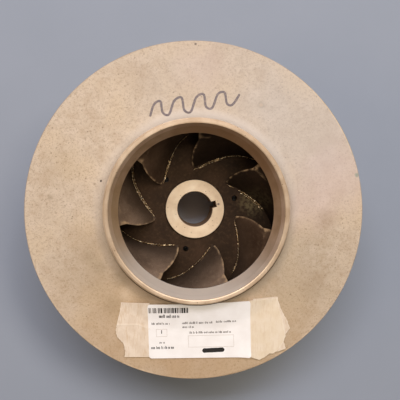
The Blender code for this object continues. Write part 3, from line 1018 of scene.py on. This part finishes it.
def torn(inner, outer, seed):
    """Places on a strip of tape between its hidden end and its torn end."""
    def place(across, down):
        x, y = along_line(outer, down)
        ragged = 0.55 * uneven(seed, y / 1.7, 0) + 0.3 * uneven(seed, y / 0.6, 9)
        return part_way(along_line(inner, down), (x + ragged, y + 0.5 * ragged), across)
    return place


def crepe(x, y, height=0.03):
    """The fine folds of creped tape, with a few wider wrinkles."""
    return height * uneven(x / 0.9, y / 7, 3) + 0.06 * uneven(x / 6, y / 9, 5)


CREASE = ((-69.9, -100.2), (-52.3, -100.3), (-42.0, -104.2))
CREASE_WIDTH = 0.9


def creased(x, y):
    """1 on the sharp crease across the left tape, and 0 beside it."""
    near = [(a, b) for a, b in zip(CREASE, CREASE[1:]) if a[0] - 1 <= x <= b[0] + 1]
    away = [abs(y - (a[1] + (b[1] - a[1]) * (x - a[0]) / (b[0] - a[0]))) for a, b in near]
    return max(0.0, 1 - min(away, default=CREASE_WIDTH) / CREASE_WIDTH)


def tapes():
    """Two strips of masking tape that hold the label: one thin, one of two layers, all torn by hand."""
    sheet(
        "tape_left_torn", 30, 84,
        torn(
            ((-41.5, -80.5), (-40.6, -129.2)),
            ((-66.5, -80.3), (-67.6, -88.3), (-69.9, -97.3), (-71.3, -105.2), (-70.1, -110.9),
             (-64.6, -116.6), (-63.0, -123.4), (-63.6, -128.8)), 4.0,
        ),
        lambda x, y: -0.03, lambda x, y: 0.13 + crepe(x, y) + 0.25 * creased(x, y),
        TAPE_THIN, "tape_left", lambda x, y: 0.7 * creased(x, y),
    )
    sheet(
        "tape_right_under", 30, 84,
        torn(
            ((50.0, -77.9), (50.0, -126.5)),
            ((72.3, -76.9), (73.0, -80.0), (75.5, -88.0), (78.5, -93.5), (80.8, -97.4), (83.8, -105.6),
             (80.0, -110.5), (78.0, -116.5), (80.1, -123.9), (73.5, -126.3), (68.0, -126.8)), 7.0,
        ),
        lambda x, y: -0.03, lambda x, y: 0.11 + crepe(x, y, 0.02),
        TAPE_THIN, "tape_right",
    )
    sheet(
        "tape_right_torn", 34, 90,
        torn(
            ((46.0, -79.3), (46.8, -130.6)),
            ((72.5, -78.3), (73.8, -86.9), (76.2, -94.9), (78.0, -101.9), (79.9, -112.3), (78.3, -116.9),
             (74.3, -123.7), (68.7, -128.2), (65.2, -128.1), (60.7, -131.5), (56.2, -133.6)), 11.0,
        ),
        lambda x, y: 0.05, lambda x, y: 0.26 + crepe(x, y, 0.02),
        TAPE_DOUBLE, "tape_right",
    )


LABEL_CORNERS = ((-43.4, -81.7), (47.5, -79.5), (-42.1, -130.6), (48.7, -131.0))
LABEL_WIDTH = math.dist(LABEL_CORNERS[0], LABEL_CORNERS[1])
LABEL_DEPTH = math.dist(LABEL_CORNERS[0], LABEL_CORNERS[2])
LABEL_ROUNDING = 2.6
LABEL_THICK = 0.13
TAPE_THICK = 0.13
CURL_REACH = 15.0
CURL_HEIGHT = 2.6

# heights of the printed bars' two faces over the label's underside, and the length of their bits
PRINT_LIFTS = (0.05, 0.15)
BIT = 3.0


def on_label(along, down):
    """Turns millimetres along and down the label from its upper left corner into x and y."""
    upper = part_way(LABEL_CORNERS[0], LABEL_CORNERS[1], along / LABEL_WIDTH)
    lower = part_way(LABEL_CORNERS[2], LABEL_CORNERS[3], along / LABEL_WIDTH)
    return part_way(upper, lower, down / LABEL_DEPTH)


def label_lift(x, y):
    """Height of the label's underside over the shroud: on the tapes, and curled up at one corner."""
    layers = 1 + min(1.0, max(0.0, (x - LABEL_CORNERS[0][0]) / LABEL_WIDTH))
    curled = max(0.0, 1 - math.dist((x, y), LABEL_CORNERS[3]) / CURL_REACH)
    return TAPE_THICK * layers + CURL_HEIGHT * curled**2


def label_top(x, y):
    """Height of the label's upper face over the shroud."""
    return label_lift(x, y) + LABEL_THICK


def label():
    """The paper label with rounded corners."""
    def place(across, down):
        along, fall = across * LABEL_WIDTH, down * LABEL_DEPTH
        middle_a = min(max(along, LABEL_ROUNDING), LABEL_WIDTH - LABEL_ROUNDING)
        middle_b = min(max(fall, LABEL_ROUNDING), LABEL_DEPTH - LABEL_ROUNDING)
        away = math.dist((along, fall), (middle_a, middle_b))
        if away > LABEL_ROUNDING:
            along = middle_a + (along - middle_a) * LABEL_ROUNDING / away
            fall = middle_b + (fall - middle_b) * LABEL_ROUNDING / away
        return on_label(along, fall)

    sheet("label_paper", 112, 64, place, label_lift, label_top, PAPER, "label")


def bars(name, marks, material):
    """Thin printed bars on the label; each has its left, top, width and height in millimetres."""
    points, faces = [], []
    for left, top, width, height in marks:
        # each bar is cut into short bits, so that it follows the sheet
        bits, tall = max(1, round(width / BIT)), max(1, round(height / BIT))
        for number in range(bits):
            for level in range(tall):
                a0, a1 = left + width * number / bits, left + width * (number + 1) / bits
                b0, b1 = top + height * level / tall, top + height * (level + 1) / tall
                faces += tube(2, 4, len(points))
                for lift in PRINT_LIFTS:
                    for a, b in ((a0, b0), (a1, b0), (a1, b1), (a0, b1)):
                        x, y = clear_of_ring(*on_label(a, b))
                        points.append((x, y, laid_face(x, y) + label_lift(x, y) + lift))
    piece(name, points, faces, [material])


def blocks(left, top, right, height, pace, rand):
    """Short upright dashes in groups, which stand for a line of print."""
    marks = []
    place = left
    while place < right:
        for _ in range(rand.randint(2, 6)):
            wide = pace * rand.uniform(0.36, 0.58)
            tall = height * rand.choice((0.68, 0.72, 1.0))
            if place + wide > right:
                break
            marks.append((place, top + height - tall, wide, tall))
            place += pace * rand.uniform(0.62, 0.86)
        place += pace * 0.7
    return marks


def label_print():
    """What is printed on the label: a row of bars, lines of dashes and two thin frames."""
    rand = random.Random(5)
    strong, grey, faint = [], [], []
    place = 0.9
    while place < 35.0:
        wide = rand.choice((0.6, 0.8, 1.0, 1.5))
        target = grey if place < 8.0 or rand.random() < 0.15 else strong
        target.append((place, 3.3, wide, 4.9))
        place += wide + rand.choice((0.35, 0.45, 0.6, 1.3 if place < 12 else 0.5))
    # lines of print, each with its left end, top, right end, height and pace
    for line in ((9.8, 9.5, 28.6, 3.1, 1.35), (2.2, 38.0, 22.2, 2.6, 1.15)):
        strong += blocks(*line, rand)
    for line in (
        (3.0, 17.0, 19.5, 2.0, 1.1), (30.0, 16.6, 57.0, 2.1, 1.2), (60.0, 16.4, 78.0, 1.9, 1.5),
        (30.2, 20.4, 40.9, 2.0, 1.2), (36.4, 25.7, 73.2, 1.9, 1.1), (9.5, 33.9, 14.2, 1.9, 1.1),
    ):
        grey += blocks(*line, rand)
    strong.append((11.3, 23.9, 0.7, 3.1))
    thin = 0.3
    for left, top, width, height in ((35.0, 29.3, 40.5, 10.0), (6.8, 23.0, 9.4, 6.5)):
        faint += [(left, top, width, thin), (left, top + height, width, thin)]
        faint += [(left, top, thin, height), (left + width, top, thin, height)]
    bars("label_print_black", strong, PRINT_INK)
    bars("label_print_grey", grey, GREY_INK)
    bars("label_print_faint", faint, FAINT_INK)


def smooth_line(corners, steps):
    """A soft curve through given corners."""
    padded = [corners[0], *corners, corners[-1]]
    curve = []
    for p0, p1, p2, p3 in zip(padded, padded[1:], padded[2:], padded[3:]):
        for step in range(steps):
            t = step / steps
            curve.append(tuple(
                0.5 * (2 * p1[k] + (p2[k] - p0[k]) * t + (2 * p0[k] - 5 * p1[k] + 4 * p2[k] - p3[k]) * t**2
                       + (3 * p1[k] - p0[k] - 3 * p2[k] + p3[k]) * t**3)
                for k in range(2)
            ))
    return curve + [corners[-1]]


# points across a stroke of ink: share of its half width, and height over its ground
STROKE = (*((share, 0.035) for share in (-1.0, -0.5, 0.0, 0.5, 1.0)), (1.0, -0.06), (-1.0, -0.06))


def pen_stroke(name, line, wide, surface, material):
    """A stroke of marker ink along a line, rounded at its ends and a little uneven."""
    lengths = [0.0]
    for a, b in zip(line, line[1:]):
        lengths.append(lengths[-1] + math.dist(a, b))
    points = []
    for number, (x, y) in enumerate(line):
        before, after = line[max(0, number - 1)], line[min(len(line) - 1, number + 1)]
        run_x, run_y = after[0] - before[0], after[1] - before[1]
        length = math.hypot(run_x, run_y)
        from_end = min(lengths[number], lengths[-1] - lengths[number]) / wide
        half = wide * math.sqrt(max(0.03, 1 - (1 - min(1.0, from_end)) ** 2))
        half *= 1 + 0.12 * uneven(x / 2, y / 2, 2)
        for share, lift in STROKE:
            a, b = x - share * half * run_y / length, y + share * half * run_x / length
            points.append((a, b, surface(a, b) + lift))
    piece(name, points, tube(len(line), len(STROKE)), [material])


def pen_marks():
    """A black bar of marker ink on the label, and a worn wavy marker line on the bronze."""
    start, end = on_label(47.2, 42.7), on_label(67.2, 42.0)
    line = [part_way(start, end, number / 24) for number in range(25)]
    pen_stroke("marker_bar", line, 2.0, lambda x, y: laid_face(x, y) + label_top(x, y), BLACK_INK)
    wave = (
        (-41.0, 82.5), (-37.5, 93.5), (-32.0, 96.0), (-30.0, 86.5), (-24.5, 84.5), (-20.0, 96.5),
        (-13.5, 99.5), (-11.0, 88.5), (-5.5, 87.0), (-0.5, 100.0), (6.0, 102.5), (8.0, 92.0),
        (13.5, 91.0), (18.5, 103.0), (24.5, 104.5), (26.5, 95.0), (31.5, 94.0), (38.0, 103.5),
    )
    pen_stroke("marker_wave", smooth_line(wave, 14), 1.05, face_height, PEN_INK)


FLASH_STEP = 0.42
FLASH_SIDES = 6

# ridges of flash: vane, where they start and end, size, distance out from the root, height, gaps
FLASH_LINES = {
    "flash_1_heavy": (0, 40.5, 60.0, 1.3, 0.7, 1.5, 0.0),
    "flash_1_second": (0, 44.0, 58.0, 0.7, 1.9, 0.5, 0.0),
    "flash_1_thin": (0, 59.0, 74.0, 0.65, 0.8, 1.2, 0.2),
    "flash_2_heavy": (1, 41.5, 61.0, 0.95, 0.6, 1.5, 0.0),
    "flash_2_thin": (1, 60.0, 79.0, 0.65, 0.6, 1.2, 0.05),
    "flash_2_floor": (1, 38.5, 56.0, 0.55, 2.4, 0.3, 0.1),
    "flash_3_nose": (2, 40.5, 44.5, 0.8, 0.5, 1.4, 0.0),
    "flash_3_heavy": (2, 46.5, 69.0, 1.0, 0.6, 2.2, 0.05),
    "flash_3_floor": (2, 48.0, 66.0, 0.7, 2.6, 0.5, 0.3),
    "flash_4_thin": (3, 41.0, 75.0, 0.75, 0.6, 1.3, 0.0),
    "flash_5_thin": (4, 41.0, 75.0, 0.72, 0.6, 1.3, 0.0),
    "flash_6_heavy": (5, 41.0, 64.0, 1.1, 0.6, 1.4, 0.0),
    "flash_6_thin": (5, 62.0, 76.0, 0.45, 0.8, 1.3, 0.2),
    "flash_7_upper": (6, 41.0, 76.0, 0.75, 0.3, 2.1, 0.0),
    "flash_7_floor": (6, 42.0, 76.0, 0.68, 2.2, 0.4, 0.1),
}


def flash_line(name, vane, start_r, end_r, size, out, up, gaps):
    """A torn ridge of casting flash along a vane's root."""
    turn = math.radians(VANE_PHASE - vane * 360 / VANES)
    points = []
    r, run = start_r, 0.0
    while r < end_r:
        angle = turn + visible_side(0.0, r) - out / r
        lump = uneven(vane * 17.0 + up * 5, run / 1.5, 0.0)
        ends = min(1.0, (r - start_r) / 1.5, (end_r - r) / 1.5)
        thick = size * max(0.16, min(1.5, 0.55 + 1.5 * lump - gaps)) * max(0.2, ends)
        middle = r + 0.45 * uneven(vane * 9.0, run / 3.1, 4.0)
        z = FLOOR + up + 0.3 * uneven(vane * 5.0, run / 2.3, 7.0)
        for corner in range(FLASH_SIDES):
            spin = math.tau * corner / FLASH_SIDES
            reach = thick * (1 + 0.5 * uneven(run * 1.7, corner * 2.3, vane))
            points.append(polar(middle + reach * math.cos(spin), angle, z + reach * math.sin(spin)))
        slope = r * (camber_angle(0.0, r + 0.2) - camber_angle(0.0, r)) / 0.2
        r += FLASH_STEP / math.sqrt(1 + slope**2)
        run += FLASH_STEP
    faces = tube(len(points) // FLASH_SIDES, FLASH_SIDES)
    piece(name, points, faces, [FLASH], sharp=25.0)


front_shroud()
eye_ring()
back_shroud()
rear_ring()
hub()
vanes()
for ridge, sizes in FLASH_LINES.items():
    flash_line(ridge, *sizes)
tapes()
label()
label_print()
pen_marks()


def look_from(x, y, z, tilt_x, tilt_y, lens):
    """The camera, straight above the eye and a little off its axis."""
    camera = placed("camera", bpy.data.cameras.new("camera"))
    camera.data.sensor_width = 36.0
    camera.data.lens = lens
    camera.data.clip_start = 0.01
    turn = Matrix.Rotation(math.radians(tilt_x), 4, "X") @ Matrix.Rotation(math.radians(tilt_y), 4, "Y")
    camera.matrix_world = Matrix.Translation((x * MM, y * MM, z * MM)) @ turn
    scene.camera = camera


# how far the lamps hang from the impeller, in metres
LAMP_AWAY = 3.0


def softbox(name, azimuth, height, size, power, code):
    """A lamp that faces the impeller from an azimuth and a height in degrees."""
    lamp = placed(name, bpy.data.lights.new(name, "AREA"))
    lamp.data.shape = "RECTANGLE"
    lamp.data.size, lamp.data.size_y = size
    lamp.data.energy = power
    lamp.data.color = linear(code)[:3]
    turn, rise = math.radians(azimuth), math.radians(height)
    aim = Vector((math.cos(rise) * math.cos(turn), math.cos(rise) * math.sin(turn), math.sin(rise)))
    lamp.location = aim * LAMP_AWAY + Vector((0, 0, 80 * MM))
    lamp.rotation_mode = "QUATERNION"
    lamp.rotation_quaternion = (-aim).to_track_quat("-Z", "Y")
    return lamp


def studio():
    """A pale floor and backdrop, three lamps for all, two for the impeller alone, and a dim room."""
    side = 14.0
    corners = [(-side, -side, 0), (side, -side, 0), (side, side, 0), (-side, side, 0)]
    mesh = bpy.data.meshes.new("floor")
    mesh.from_pydata(corners, [], [(0, 1, 2, 3)])
    mesh.materials.append(floor_paint())
    floor = placed("floor", mesh)
    world = bpy.data.worlds.new("room")
    world.use_nodes = True
    scene.world = world
    # the pale backdrop shows behind the object, and the dim room is what lights it
    tree = world.node_tree
    room = tree.nodes["Background"]
    room.inputs["Color"].default_value = linear("#f1e4d6")
    room.inputs["Strength"].default_value = 0.09
    backdrop = node("Background", None, {"Color": "#b9bcc2", "Strength": 0.8}, tree=tree)
    seen = node("LightPath", output="Is Camera Ray", tree=tree)
    either = node("MixShader", None, {0: seen, 1: room.outputs[0], 2: backdrop})
    tree.links.new(either, tree.nodes["World Output"].inputs["Surface"])
    softbox("window_lamp", 96, 51, (3.0, 0.65), 51.5, "#f5f2ff")
    softbox("side_lamp", 38, 50, (1.6, 0.7), 20.0, "#fff0de")
    softbox("fill_lamp", 185, 30, (1.8, 0.8), 10.0, "#ffdcb2")
    # these two are flagged off the floor, so that the bore stays dark
    upper = softbox("upper_lamp", 100, 74, (1.8, 1.2), 34.0, "#fff3e2")
    lower = softbox("lower_lamp", 285, 62, (1.6, 1.0), 10.0, "#fff3e2")
    lit = bpy.data.collections.new("impeller")
    for made in scene.collection.objects:
        if made.type == "MESH" and made.name != "floor":
            lit.objects.link(made)
    for lamp in (upper, lower):
        lamp.light_linking.receiver_collection = lit


look_from(-14.82, 16.07, 447.81, -1.007, -2.79, 36.9)
studio()
